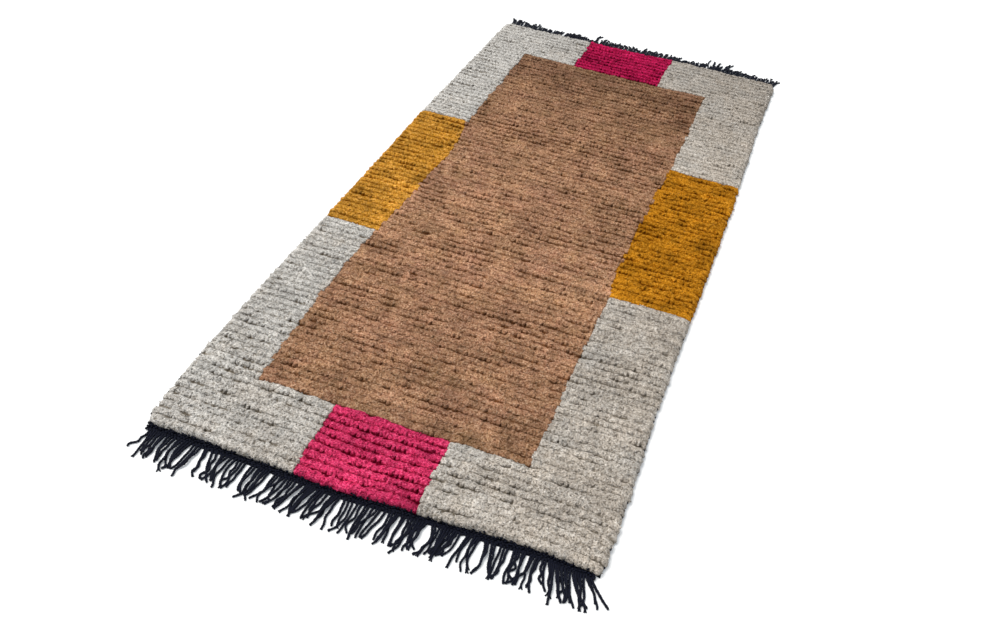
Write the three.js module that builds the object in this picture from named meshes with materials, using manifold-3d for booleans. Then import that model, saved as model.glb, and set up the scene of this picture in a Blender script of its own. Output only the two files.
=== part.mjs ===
// A knotted wool rug that lies flat: a thick pile slab, with a black woven band and a cotton fringe at
// each end. Millimetres, +Z up. The origin is on the floor, under the middle of the rug. X runs across
// the rug, Y along it, and the near end is at -Y.
import * as THREE from "three";
import { mergeVertices } from "three/addons/utils/BufferGeometryUtils.js";
import Module from "manifold-3d";

const wasm = await Module();
wasm.setup();

// Driving dimensions of the pile
const RUG_WIDTH = 600;
const PILE_LENGTH = 1400;
const THICKNESS = 14; // floor to the top of a row
const ROWS = 100; // rows of knots along the length
const GROOVE_DEPTH = 3.4; // between two rows
const GROOVE_CHANGE = 1.5; // how much deeper or shallower a groove gets
const GROOVE_RHYTHM = 17; // rows over which the grooves' depth comes round
const CREST_CHANGE = 0.6; // how much a row stands above or below its neighbours
const CREST_RHYTHM = 9; // rows over which the crests' height comes round
const CREST_SPAN = [0.26, 0.74]; // where a row's flat crest starts and ends, as a share of its width
const RIM_WIDTH = 7; // the pile leans out and thins over this width at the sides
const RIM_HEIGHT = 0.62; // of the height further in
const SWELL = 0.5; // slow rise and fall of the top over the whole rug
const END_REACH = 180; // how far in from an end its uneven line fades out
const UNDERSIDE_STEPS = 21; // faces along the flat underside

// Driving dimensions of the end bands and the fringe
const BAND_WIDTH = 9.5;
const BAND_HEIGHT = 4.6;
const BAND_INSET = 2; // the band stops this far in from the sides
const GAP = 0.3; // between the band and the pile
const STRAND_WIDTH = 2.3;
const STRAND_HEIGHT = 2.6;
const STRAND_SINK = 2.5; // of a root inside the band
const STRAND_PITCH = 2.85; // least distance between two strands side by side
const TIP_WIDTH = 0.75; // of the strand's width
const TIP_HEIGHT = 0.7; // of the strand's height
const STRAND_STEPS = [0, 0.38, 0.72, 1]; // where a strand's faces meet along it
const BEND_SIDEWAYS = [0.12, 0.64]; // of its lean, at a third and two thirds of a strand's length
const REACH_CHANGE = 2.5; // how much longer or shorter a strand is than its lock

// The end band seen from its side, as shares of its width and height, from its edge beside the pile.
const BAND_PROFILE = [
  { out: 0, up: 0 },
  { out: 1, up: 0 },
  { out: 1, up: 0.62 },
  { out: 0.8, up: 0.94 },
  { out: 0.5, up: 1 },
  { out: 0.2, up: 0.94 },
  { out: 0, up: 0.7 },
];

// Places across the rug, as a share of its width, and how far the pile's two ends reach past their
// straight line there.
const STATIONS = [
  { across: 0, near: -1, far: -4 },
  { across: RIM_WIDTH / RUG_WIDTH, near: 0, far: -4 },
  { across: 0.22, near: 0, far: -7 },
  { across: 0.45, near: 4, far: -5 },
  { across: 0.7, near: -5, far: 3 },
  { across: 0.88, near: -9, far: 0 },
  { across: 1 - RIM_WIDTH / RUG_WIDTH, near: -5, far: 0 },
  { across: 1, near: -3, far: -2 },
];

// Places along the rug, as a share of its length, and how far the sides reach past their straight line.
const SIDE_WAVE = [
  { along: 0, left: 0, right: 5 },
  { along: 0.1, left: 7, right: 4 },
  { along: 0.25, left: 9, right: -1 },
  { along: 0.45, left: 8, right: 2 },
  { along: 0.65, left: 10, right: 2 },
  { along: 0.85, left: 5, right: -3 },
  { along: 1, left: 3, right: 0 },
];

// The fringe at the near end, lock by lock from left to right. Roots and tips are in hundredths of the
// rug's width, from the first strand of the lock to its last. Reach is the length past the band and
// bow is how far the middle of the lock leans sideways, both in mm.
const NEAR_LOCKS = [
  { root: [1.9, 1.9], tip: [0.8, 0.8], reach: 34, bow: 0, strands: 1 },
  { root: [2.4, 5.6], tip: [2.6, 6.0], reach: 40, bow: 1, strands: 7 },
  { root: [6.4, 8.0], tip: [7.4, 8.6], reach: 41, bow: 0, strands: 3 },
  { root: [8.9, 11.7], tip: [9.4, 11.4], reach: 44, bow: 0, strands: 5 },
  { root: [12.4, 14.0], tip: [12.1, 13.1], reach: 45, bow: 0, strands: 3 },
  { root: [15.2, 15.7], tip: [16.2, 16.8], reach: 44, bow: 0, strands: 2 },
  { root: [16.7, 19.0], tip: [18.0, 19.2], reach: 45, bow: 1, strands: 3 },
  { root: [19.7, 22.4], tip: [20.3, 22.3], reach: 45, bow: -1, strands: 4 },
  { root: [23.0, 24.6], tip: [22.9, 24.0], reach: 45, bow: 1, strands: 3 },
  { root: [26.2, 27.0], tip: [26.4, 27.1], reach: 44, bow: -3, strands: 2 },
  { root: [27.8, 30.2], tip: [27.8, 29.8], reach: 49, bow: 0, strands: 5 },
  { root: [31.6, 34.2], tip: [30.4, 32.4], reach: 43, bow: 0, strands: 5 },
  { root: [34.8, 36.2], tip: [33.4, 34.7], reach: 42, bow: 1, strands: 3 },
  { root: [37.4, 37.9], tip: [35.6, 36.4], reach: 44, bow: 0, strands: 2 },
  { root: [38.8, 40.8], tip: [37.7, 39.7], reach: 47, bow: 0, strands: 5 },
  { root: [41.6, 42.8], tip: [40.6, 41.9], reach: 47, bow: 0, strands: 3 },
  { root: [43.6, 44.6], tip: [42.6, 43.6], reach: 45, bow: 0, strands: 2 },
  { root: [45.2, 46.3], tip: [44.3, 45.5], reach: 47, bow: 1, strands: 3 },
  { root: [47.3, 49.0], tip: [47.5, 49.0], reach: 46, bow: 0, strands: 3 },
  { root: [50.2, 51.9], tip: [49.7, 50.9], reach: 45, bow: 1, strands: 3 },
  { root: [52.6, 54.4], tip: [51.8, 53.4], reach: 44, bow: -1, strands: 3 },
  { root: [55.1, 56.2], tip: [54.1, 54.9], reach: 45, bow: 1, strands: 2 },
  { root: [56.9, 57.5], tip: [56.0, 56.7], reach: 45, bow: 0, strands: 2 },
  { root: [58.4, 58.9], tip: [57.9, 58.5], reach: 45, bow: 1, strands: 2 },
  { root: [59.8, 60.4], tip: [59.9, 60.4], reach: 48, bow: 0, strands: 2 },
  { root: [61.0, 62.3], tip: [61.0, 62.0], reach: 45, bow: 1, strands: 3 },
  { root: [63.0, 63.5], tip: [62.7, 63.4], reach: 44, bow: 0, strands: 2 },
  { root: [64.1, 64.8], tip: [64.1, 64.8], reach: 45, bow: -1, strands: 2 },
  { root: [65.9, 66.5], tip: [65.3, 65.9], reach: 42, bow: 4, strands: 2 },
  { root: [67.6, 71.2], tip: [67.5, 70.6], reach: 44, bow: 0, strands: 7 },
  { root: [71.9, 71.9], tip: [71.5, 71.5], reach: 40, bow: 0, strands: 1 },
  { root: [73.6, 74.2], tip: [72.8, 73.4], reach: 44, bow: 0, strands: 2 },
  { root: [74.9, 76.0], tip: [75.0, 76.4], reach: 48, bow: -1, strands: 3 },
  { root: [77.0, 77.6], tip: [77.6, 78.4], reach: 48, bow: 1, strands: 2 },
  { root: [78.5, 79.1], tip: [79.7, 80.3], reach: 47, bow: 0, strands: 2 },
  { root: [80.4, 81.8], tip: [81.1, 82.2], reach: 47, bow: -1, strands: 3 },
  { root: [83.1, 84.1], tip: [83.0, 84.2], reach: 47, bow: 1, strands: 3 },
  { root: [84.9, 85.4], tip: [85.7, 86.4], reach: 47, bow: 0, strands: 2 },
  { root: [86.6, 88.4], tip: [87.3, 88.8], reach: 46, bow: -1, strands: 4 },
  { root: [89.1, 89.7], tip: [90.2, 91.0], reach: 38, bow: 0, strands: 2 },
  { root: [90.3, 92.4], tip: [92.4, 94.8], reach: 44, bow: 1, strands: 5 },
  { root: [93.1, 94.6], tip: [96.0, 97.8], reach: 44, bow: 0, strands: 3 },
  { root: [95.3, 97.3], tip: [98.6, 100.8], reach: 42, bow: 0, strands: 4 },
  { root: [98.1, 98.9], tip: [101.8, 102.8], reach: 33, bow: 0, strands: 2 },
];

// The fringe at the far end has even locks. Their reach and lean, in mm, change along the band.
const FAR_LOCKS = 44;
const FAR_STRANDS = 3;
const FAR_BOW = 1;
const FAR_INSET = 0.016; // of the rug's width, from its side to the first lock
const FAR_WAVE = [
  { across: 0, reach: 36, lean: -2 },
  { across: 0.05, reach: 38, lean: -3 },
  { across: 0.16, reach: 27, lean: 2 },
  { across: 0.24, reach: 32, lean: -1 },
  { across: 0.33, reach: 39, lean: 0 },
  { across: 0.42, reach: 32, lean: 2 },
  { across: 0.54, reach: 41, lean: -2 },
  { across: 0.61, reach: 38, lean: 1 },
  { across: 0.66, reach: 25, lean: 2 },
  { across: 0.72, reach: 28, lean: -1 },
  { across: 0.78, reach: 54, lean: 3 },
  { across: 0.83, reach: 42, lean: 4 },
  { across: 0.9, reach: 34, lean: 0 },
  { across: 1, reach: 38, lean: 2 },
];

// A slow, uneven wave between -1 and 1, made of three sines that don't repeat together.
function wave(t, phase) {
  const turns = 2 * Math.PI * t;
  return (
    (Math.sin(turns + phase) +
      Math.sin(2.3 * turns + 1.7 * phase) +
      Math.sin(5.1 * turns + 2.9 * phase)) /
    3
  );
}

// The value of one column of a table at a place between its rows.
function between(table, placeColumn, valueColumn, place) {
  const last = table.length - 1;
  const at = THREE.MathUtils.clamp(place, table[0][placeColumn], table[last][placeColumn]);
  const next = Math.max(1, table.findIndex((row) => row[placeColumn] >= at));
  const [a, b] = [table[next - 1], table[next]];
  const share = (at - a[placeColumn]) / (b[placeColumn] - a[placeColumn]);
  return THREE.MathUtils.lerp(a[valueColumn], b[valueColumn], share);
}

// Where a place across the rug lies in X, at a place along it.
function placeAcross(across, along) {
  const left = -RUG_WIDTH / 2 - between(SIDE_WAVE, "along", "left", along);
  const right = RUG_WIDTH / 2 + between(SIDE_WAVE, "along", "right", along);
  return THREE.MathUtils.lerp(left, right, across);
}

// How far an end of the pile reaches along the rug at a place across it.
function endReach(end, across) {
  return PILE_LENGTH / 2 + between(STATIONS, "across", end, across);
}

// The rug seen from its side, from one end to the other: a flat underside, and a row of knots after
// another on top, each with a rounded crest and a groove before and after it.
function rowProfile() {
  const pitch = PILE_LENGTH / ROWS;
  const [crestFrom, crestTo] = CREST_SPAN;
  const middleHeight = THICKNESS - SWELL - CREST_CHANGE;
  const grooveHeight = (row) =>
    middleHeight - GROOVE_DEPTH - GROOVE_CHANGE * wave(row / GROOVE_RHYTHM, 0.6);
  const crestHeight = (row) => middleHeight + CREST_CHANGE * wave(row / CREST_RHYTHM, 2.1);
  const points = [];
  for (let step = 0; step <= UNDERSIDE_STEPS; step++) {
    points.push(new THREE.Vector2((step / UNDERSIDE_STEPS - 0.5) * PILE_LENGTH, 0));
  }
  for (let row = ROWS - 1; row >= 0; row--) {
    const start = row * pitch - PILE_LENGTH / 2;
    points.push(new THREE.Vector2(start + pitch, grooveHeight(row + 1)));
    points.push(new THREE.Vector2(start + crestTo * pitch, crestHeight(row)));
    points.push(new THREE.Vector2(start + crestFrom * pitch, crestHeight(row + 0.4)));
  }
  points.push(new THREE.Vector2(-PILE_LENGTH / 2, grooveHeight(0)));
  return points;
}

// The side view of a piece, extruded across the rug with a step at each station. Its own x, y and
// depth become the rug's Y, Z and X, and place gives each point its final spot.
function acrossTheRug(points, place) {
  const steps = STATIONS.length - 1;
  const geometry = new THREE.ExtrudeGeometry(new THREE.Shape(points), {
    depth: steps,
    steps,
    bevelEnabled: false,
  });
  const position = geometry.getAttribute("position");
  for (let i = 0; i < position.count; i++) {
    const station = STATIONS[Math.round(position.getZ(i))];
    position.setXYZ(i, ...place(station, position.getX(i), position.getY(i)));
  }
  geometry.computeVertexNormals();
  return geometry;
}

function pileGeometry() {
  return acrossTheRug(rowProfile(), (station, y, z) => {
    const along = y / PILE_LENGTH + 0.5;
    const end = y < 0 ? "near" : "far";
    const fromEnd = (PILE_LENGTH / 2 - Math.abs(y)) / END_REACH;
    const shift = Math.sign(y) * station[end] * (1 - THREE.MathUtils.smoothstep(fromEnd, 0, 1));
    const atRim = station.across === 0 || station.across === 1;
    const swell = SWELL * wave(along * 2 + station.across, 4 * station.across);
    const top = atRim ? (z + swell) * RIM_HEIGHT : z + swell;
    return [placeAcross(station.across, along), y + shift, z > 0 ? top : 0];
  });
}

function bandGeometry(end) {
  const outwards = end === "near" ? -1 : 1;
  const along = end === "near" ? 0 : 1;
  const points = BAND_PROFILE.map(
    (point) => new THREE.Vector2(outwards * point.out * BAND_WIDTH, point.up * BAND_HEIGHT),
  );
  const inset = BAND_INSET / RUG_WIDTH;
  return acrossTheRug(points, (station, out, up) => {
    const across = THREE.MathUtils.clamp(station.across, inset, 1 - inset);
    return [placeAcross(across, along), outwards * (endReach(end, across) + GAP) + out, up];
  });
}

// One strand: its outline on the floor, extruded up, and lower towards its tip.
function strandGeometry(root, tip, bow) {
  const bend = (part) => {
    const sideways = THREE.MathUtils.lerp(root.x, tip.x, BEND_SIDEWAYS[part]);
    return root.clone().lerp(tip, (part + 1) / 3).setX(sideways + (4 / 3) * bow);
  };
  const path = new THREE.CubicBezierCurve(root, bend(0), bend(1), tip);
  const left = [];
  const right = [];
  for (const step of STRAND_STEPS) {
    const at = path.getPoint(step);
    const ahead = path.getTangent(step);
    const half = (STRAND_WIDTH / 2) * THREE.MathUtils.lerp(1, TIP_WIDTH, step);
    left.push(new THREE.Vector2(at.x - ahead.y * half, at.y + ahead.x * half));
    right.unshift(new THREE.Vector2(at.x + ahead.y * half, at.y - ahead.x * half));
  }
  const geometry = new THREE.ExtrudeGeometry(new THREE.Shape([...left, ...right]), {
    depth: STRAND_HEIGHT,
    bevelEnabled: false,
  });
  const position = geometry.getAttribute("position");
  for (let i = 0; i < position.count; i++) {
    const share = (position.getY(i) - root.y) / (tip.y - root.y);
    const lower = THREE.MathUtils.lerp(1, TIP_HEIGHT, THREE.MathUtils.clamp(share, 0, 1));
    if (position.getZ(i) > 0) position.setZ(i, position.getZ(i) * lower);
  }
  return geometry;
}

// A place between the two numbers of a span, for one of count strands. A span that is too tight for
// them is widened about its middle.
function spread([from, to], index, count) {
  if (count === 1) return (from + to) / 2;
  const least = ((count - 1) * STRAND_PITCH * 100) / RUG_WIDTH;
  const half = Math.max(to - from, least) / 2;
  return (from + to) / 2 + half * ((2 * index) / (count - 1) - 1);
}

// The strands of an end: each lock's roots stand side by side in the band, and its tips lie as the
// table says, each a little shorter or longer than the next.
function strandGeometries(end, locks) {
  const outwards = end === "near" ? -1 : 1;
  const rowOfStrands = [];
  locks.forEach((lock, place) => {
    for (let index = 0; index < lock.strands; index++) {
      const rootAcross = spread(lock.root, index, lock.strands);
      const tipAcross = spread(lock.tip, index, lock.strands);
      const bandEdge = endReach(end, rootAcross / 100) + GAP + BAND_WIDTH;
      const reach = lock.reach + REACH_CHANGE * wave(0.37 * index, place);
      const root = new THREE.Vector2(
        (rootAcross / 100 - 0.5) * RUG_WIDTH,
        outwards * (bandEdge - STRAND_SINK),
      );
      const tip = new THREE.Vector2(
        (tipAcross / 100 - 0.5) * RUG_WIDTH,
        outwards * (bandEdge + reach),
      );
      rowOfStrands.push(strandGeometry(root, tip, lock.bow));
    }
  });
  return rowOfStrands;
}

function farLocks() {
  const inHundredths = 100 / RUG_WIDTH;
  const half = (STRAND_PITCH * (FAR_STRANDS - 1) * inHundredths) / 2;
  return Array.from({ length: FAR_LOCKS }, (_, place) => {
    const across = THREE.MathUtils.lerp(FAR_INSET, 1 - FAR_INSET, (place + 0.5) / FAR_LOCKS);
    const root = 100 * across;
    const tip = root + between(FAR_WAVE, "across", "lean", across) * inHundredths;
    return {
      root: [root - half, root + half],
      tip: [tip - half, tip + half],
      reach: between(FAR_WAVE, "across", "reach", across),
      bow: FAR_BOW * wave((3 * place) / FAR_LOCKS, 1.3),
      strands: FAR_STRANDS,
    };
  });
}

// A closed geometry as a solid that can be joined.
function solidOf(geometry) {
  const bare = geometry.clone();
  bare.deleteAttribute("normal");
  bare.deleteAttribute("uv");
  const merged = mergeVertices(bare, 1e-4);
  const mesh = new wasm.Mesh({
    numProp: 3,
    vertProperties: merged.getAttribute("position").array,
    triVerts: new Uint32Array(merged.index.array),
  });
  return new wasm.Manifold(mesh);
}

function geometryOf(solid) {
  const mesh = solid.getMesh();
  const geometry = new THREE.BufferGeometry();
  geometry.setAttribute("position", new THREE.BufferAttribute(mesh.vertProperties, 3));
  geometry.setIndex(new THREE.BufferAttribute(mesh.triVerts, 1));
  geometry.computeVertexNormals();
  return geometry;
}

function fringeGeometry(end, locks) {
  const strands = strandGeometries(end, locks).map(solidOf);
  const joined = strands.reduce((all, strand) => all.add(strand), solidOf(bandGeometry(end)));
  return geometryOf(joined);
}

const brownWool = new THREE.MeshStandardMaterial({ color: 0x9b7860, roughness: 0.95, metalness: 0 });
const blackCotton = new THREE.MeshStandardMaterial({ color: 0x20242c, roughness: 0.9, metalness: 0 });

function piece(name, geometry, material) {
  const mesh = new THREE.Mesh(geometry, material);
  mesh.name = name;
  return mesh;
}

const rug = new THREE.Group();
rug.add(piece("pile_rug", pileGeometry(), brownWool));
rug.add(piece("near_fringe", fringeGeometry("near", NEAR_LOCKS), blackCotton));
rug.add(piece("far_fringe", fringeGeometry("far", farLocks()), blackCotton));

// The fringe leans past the pile more on one side, so the rug is moved until its origin is under the
// middle of everything.
const middle = new THREE.Box3().setFromObject(rug, true).getCenter(new THREE.Vector3());
rug.position.set(-middle.x, -middle.y, 0);

export default rug;
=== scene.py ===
# %% [markdown]
# # A knotted wool rug with a loose fringe
# The real rug is woven on a loom. Cotton warp runs its whole length and comes out at both ends as the
# fringe. Rows of wool knots are tied across the warp, and each row is held down by a thick black weft.
# This lesson makes the pile first, because it shows most, then the woven ground under it, the end bands
# and the strands. All of it lies in the frame of a plain construction model, which gives the places and
# the sizes.

import math

import bpy
import numpy as np
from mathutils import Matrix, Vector


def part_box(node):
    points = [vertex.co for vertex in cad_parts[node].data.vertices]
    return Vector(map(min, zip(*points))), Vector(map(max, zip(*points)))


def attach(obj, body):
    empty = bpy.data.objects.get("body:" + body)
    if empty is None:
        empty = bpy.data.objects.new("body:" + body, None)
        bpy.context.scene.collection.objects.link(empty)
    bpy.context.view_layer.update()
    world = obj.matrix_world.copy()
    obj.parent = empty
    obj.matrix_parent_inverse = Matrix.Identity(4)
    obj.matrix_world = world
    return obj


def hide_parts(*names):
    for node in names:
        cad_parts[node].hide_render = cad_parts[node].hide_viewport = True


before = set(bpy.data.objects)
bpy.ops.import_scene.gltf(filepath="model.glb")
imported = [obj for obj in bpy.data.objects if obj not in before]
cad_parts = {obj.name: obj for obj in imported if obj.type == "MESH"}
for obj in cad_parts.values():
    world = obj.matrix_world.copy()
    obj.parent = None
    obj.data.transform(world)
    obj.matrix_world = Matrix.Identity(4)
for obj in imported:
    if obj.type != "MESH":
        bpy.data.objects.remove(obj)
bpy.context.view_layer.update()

# %% [markdown]
# ## Sizes
# Lengths are in metres, as everywhere in Blender. Tables keep millimetres, because they are easier to
# read, and MM turns them. A place across the rug goes from 0 at its left side to 1 at its right, and a
# place along it from 0 at the near end to 1 at the far end. No hand woven rug is straight, so one
# table says how its two ends wander and one how its sides do.

# %% Driving sizes
MM = 0.001
RUG_WIDTH = 600 * MM
PILE_LENGTH = 1400 * MM
THICKNESS = 14 * MM
GROUND_THICKNESS = 3 * MM
ROWS = 100
TUFTS_ACROSS = 88
END_REACH = 180 * MM  # how far in from an end its uneven line fades out
RIM_SHARE = 7 / 600  # of the width, over which the pile leans out at a side

STATIONS = {
    "across": [0, RIM_SHARE, 0.22, 0.45, 0.7, 0.88, 1 - RIM_SHARE, 1],
    "near": [-1, 0, 0, 4, -5, -9, -5, -3],
    "far": [-4, -4, -7, -5, 3, 0, 0, -2],
}
SIDE_WAVE = {
    "along": [0, 0.1, 0.25, 0.45, 0.65, 0.85, 1],
    "left": [0, 7, 9, 8, 10, 5, 3],
    "right": [5, 4, -1, 2, 2, -3, 0],
}
print("the pile gets", ROWS, "rows of", TUFTS_ACROSS, "tufts")

# %% [markdown]
# ## From shares to places
# The construction model is centred on its whole box, fringe included, so the rug's own middle lies a
# few millimetres off the origin. That shift comes out of the model's box.

# %% Places on the rug
pile_low, pile_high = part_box("pile_rug")
table_middle = Vector((
    (max(SIDE_WAVE["right"]) - max(SIDE_WAVE["left"])) / 2 * MM,
    (max(STATIONS["far"]) - max(STATIONS["near"])) / 2 * MM,
    0,
))
shift = (pile_low + pile_high) / 2 - table_middle


def place_across(across, along):
    """Where a place across the rug lies in X."""
    left = -RUG_WIDTH / 2 - np.interp(along, SIDE_WAVE["along"], SIDE_WAVE["left"]) * MM
    right = RUG_WIDTH / 2 + np.interp(along, SIDE_WAVE["along"], SIDE_WAVE["right"]) * MM
    return left + (right - left) * across + shift.x


def end_reach(end, across):
    """How far an end of the pile reaches from the rug's own middle."""
    return PILE_LENGTH / 2 + np.interp(across, STATIONS["across"], STATIONS[end]) * MM


def smooth_step(share):
    share = np.clip(share, 0, 1)
    return share * share * (3 - 2 * share)


def place_along(across, along):
    """Where a place along the rug lies in Y. The wander of an end fades out inwards."""
    straight = (np.asarray(along) - 0.5) * PILE_LENGTH
    wander = np.where(
        straight < 0,
        -np.interp(across, STATIONS["across"], STATIONS["near"]),
        np.interp(across, STATIONS["across"], STATIONS["far"]),
    )
    fade = 1 - smooth_step((PILE_LENGTH / 2 - np.abs(straight)) / END_REACH)
    return straight + wander * fade * MM + shift.y


print("the rug's middle lies", round(shift.x / MM, 2), round(shift.y / MM, 2), "mm from the origin")

# %% [markdown]
# ## The camera
# The camera stands a metre high, in front of the near end and a little to its right, and looks down
# through a normal lens. It is also turned a few degrees about its own axis, so that the rug runs from
# the lower left to the upper right. Its place, turn and lens follow from where the four outer lines of
# the rug lie in the picture.

# %% Camera
CAMERA_PLACE = Vector((0.3743, -1.5237, 1.0162))
CAMERA_TURN = (51.534, -5.399, 19.738)
LENS = 39.39

camera_data = bpy.data.cameras.new("camera")
camera_data.lens = LENS
camera_data.sensor_width = 36
camera = bpy.data.objects.new("camera", camera_data)
camera.location = CAMERA_PLACE + Vector((shift.x, shift.y, 0))
camera.rotation_euler = [math.radians(angle) for angle in CAMERA_TURN]
bpy.context.scene.collection.objects.link(camera)
bpy.context.scene.camera = camera
print("camera at", tuple(round(value, 3) for value in camera.location))

# %% [markdown]
# ## The stage
# A white floor, a bright even sky and one sun lamp from the upper left, as wide as a window seen from
# close by, so its shadows are soft. The lamp is a little warm and the sky a little cool. The floor glows
# faintly, as a lit table does, which keeps the shadows under the fringe pale and turns them blue. It
# stands a tenth of a millimetre higher than the rug's underside, so the two surfaces never coincide.

# %% Floor and lights
FLOOR_SIZE = 60
FLOOR_LIFT = 0.1 * MM

bpy.ops.object.select_all(action="DESELECT")
bpy.ops.mesh.primitive_plane_add(size=FLOOR_SIZE, location=(0, 0, FLOOR_LIFT))
bpy.ops.object.transform_apply(location=True)
floor = bpy.context.object
floor.name = "floor"
floor_paint = bpy.data.materials.new("white_floor")
floor_paint.use_nodes = True
floor_shader = floor_paint.node_tree.nodes["Principled BSDF"]
floor_shader.inputs["Base Color"].default_value = (0.76, 0.76, 0.76, 1)
floor_shader.inputs["Roughness"].default_value = 0.9
floor_shader.inputs["Emission Color"].default_value = (0.86, 0.93, 1, 1)
floor_shader.inputs["Emission Strength"].default_value = 0.15
floor.data.materials.append(floor_paint)

world = bpy.data.worlds.new("studio")
world.use_nodes = True
world.node_tree.nodes["Background"].inputs["Color"].default_value = (0.93, 0.97, 1, 1)
world.node_tree.nodes["Background"].inputs["Strength"].default_value = 0.7
bpy.context.scene.world = world

LAMP_PLACE = Vector((-1.5, -0.2, 3.0))
lamp_data = bpy.data.lights.new("soft_lamp", "SUN")
lamp_data.angle = math.radians(36)
lamp_data.energy = 2.95
lamp_data.color = (1, 0.97, 0.93)
lamp = bpy.data.objects.new("soft_lamp", lamp_data)
lamp.location = LAMP_PLACE
lamp.rotation_euler = (-LAMP_PLACE).to_track_quat("-Z", "Y").to_euler()
bpy.context.scene.collection.objects.link(lamp)
bpy.context.scene.view_settings.view_transform = "Standard"
print("stage and lamp are set")

# %% [markdown]
# ## Shader maths
# A finish is easier to read as a formula than as a web of nodes. Wire wraps one socket, so that plus,
# minus and times add the Math nodes, and Finish makes any other node from its type, its settings and
# the values or wires of its sockets.

# %% Wires
class Wire:
    """One output socket of a finish's nodes."""

    def __init__(self, finish, socket):
        self.finish = finish
        self.socket = socket

    def math(self, operation, *others):
        return self.finish.math(operation, self, *others)

    def __add__(self, other):
        return self.math("ADD", other)

    def __sub__(self, other):
        return self.math("SUBTRACT", other)

    def __rsub__(self, other):
        return self.finish.math("SUBTRACT", other, self)

    def __mul__(self, other):
        return self.math("MULTIPLY", other)

    __radd__ = __add__
    __rmul__ = __mul__


# %% Finishes
class Finish:
    """A material that is put together from named parts."""

    def __init__(self, name):
        self.material = bpy.data.materials.new(name)
        self.material.use_nodes = True
        self.tree = self.material.node_tree
        self.shader = self.tree.nodes["Principled BSDF"]

    def put(self, socket, value):
        if isinstance(value, Wire):
            self.tree.links.new(value.socket, socket)
        else:
            socket.default_value = value

    def node(self, kind, settings=None, values=None, output=0):
        made = self.tree.nodes.new(kind)
        for name, value in (settings or {}).items():
            setattr(made, name, value)
        for name, value in (values or {}).items():
            self.put(made.inputs[name], value)
        return Wire(self, made.outputs[output])

    def math(self, operation, *values):
        return self.node("ShaderNodeMath", {"operation": operation}, dict(enumerate(values)))

    def mix(self, share, first, second):
        values = {0: share, 6: first, 7: second}
        return self.node("ShaderNodeMix", {"data_type": "RGBA"}, values, output=2)

    def scale(self, colour, factor):
        return self.node("ShaderNodeVectorMath", {"operation": "SCALE"}, {0: colour, 3: factor})

    def noise(self, place, scale, detail=2, roughness=0.5):
        values = {"Vector": place, "Scale": scale, "Detail": detail, "Roughness": roughness}
        return self.node("ShaderNodeTexNoise", None, values)

    def object_place(self):
        return self.node("ShaderNodeTexCoord", output=3)

    def ramp(self, value, start, stop, low, high):
        """Low up to start, high from stop on, and a smooth step between them."""
        settings = {"interpolation_type": "SMOOTHSTEP"}
        return self.node("ShaderNodeMapRange", settings, {0: value, 1: start, 2: stop, 3: low, 4: high})

    def bump(self, height, distance):
        return self.node("ShaderNodeBump", None, {"Height": height, "Distance": distance, "Strength": 1})

    def set(self, **values):
        """Puts values or wires on the shader's own sockets, and tells the material."""
        for name, value in values.items():
            self.put(self.shader.inputs[name.replace("_", " ")], value)
        return self.material


# %% [markdown]
# ## Wool
# Each tuft was spun and dyed by hand, so no two have quite the same colour. A tuft carries its own
# shade, tint and height as a colour attribute on its points. Over that comes a fine noise at the size
# of the fibres, which both colours and roughens the surface, and with it a coarser noise at the size of
# the yarn. Where the two raise the bump the colour is lighter and where they sink it is deeper, a
# painted light and shade over the relief. The pile is painted pale where the cut tips of the yarn stand
# high, a painted highlight, and deep in colour down at its roots and in the hollows of the bump, a
# painted shade.
# The far pink block and the right mustard block take darker, deeper wools of their own, partly a deeper
# dye and partly a painted fall of light towards the far end and the right side. The shade is stored
# halved, because it may pass 1, and the factor of the fibres lies about 2, which makes up for it.

# %% Wool finish
FIBRE_SCALE = 820
YARN_SCALE = 380
WOOL_RELIEF = 5 * MM


def wool(name, colour, tint, deep, pale):
    """A wool finish from its main colour, the one it drifts to, its painted root shade and tip
    highlight.
    """
    finish = Finish(name)
    marks = finish.node("ShaderNodeAttribute", {"attribute_name": "tuft"})
    parts = finish.tree.nodes.new("ShaderNodeSeparateColor")
    finish.put(parts.inputs[0], marks)
    shade, hue, height = (Wire(finish, socket) for socket in parts.outputs)
    place = finish.object_place()
    fibre = finish.noise(place, FIBRE_SCALE, detail=3, roughness=0.7)
    yarn = finish.noise(place, YARN_SCALE, detail=2, roughness=0.55)
    # Painted shade: the hollows of the bump, where the yarn noise is low, take the deep colour.
    crevice_shade = finish.ramp(yarn, 0.33, 0.46, 0.85, 0.0)
    # Painted highlight: where the yarn noise is high on the upper pile, the colour turns pale.
    tip = finish.ramp(yarn, 0.52, 0.68, 0.0, 0.6) * height
    # Painted shade: the lower a point stands in its row, the more it takes the deep colour of the roots.
    root = finish.ramp(height, 0.25, 0.8, 1.0, 0.0)
    dyed = finish.mix(hue, (*colour, 1), (*tint, 1))
    dyed = finish.mix(tip, dyed, (*pale, 1))
    dyed = finish.mix(crevice_shade.math("MAXIMUM", root), dyed, (*deep, 1))
    # The lightness follows the same noises as the bump: painted light on its tops, painted shade in its
    # dips.
    value = shade * (0.6 + 2.8 * fibre) * (0.6 + 0.8 * yarn)
    return finish.set(
        Base_Color=finish.scale(dyed, value),
        Roughness=1.0,
        Normal=finish.bump(fibre * 0.4 + yarn, WOOL_RELIEF),
        Specular_IOR_Level=0.04,
    )


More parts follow.
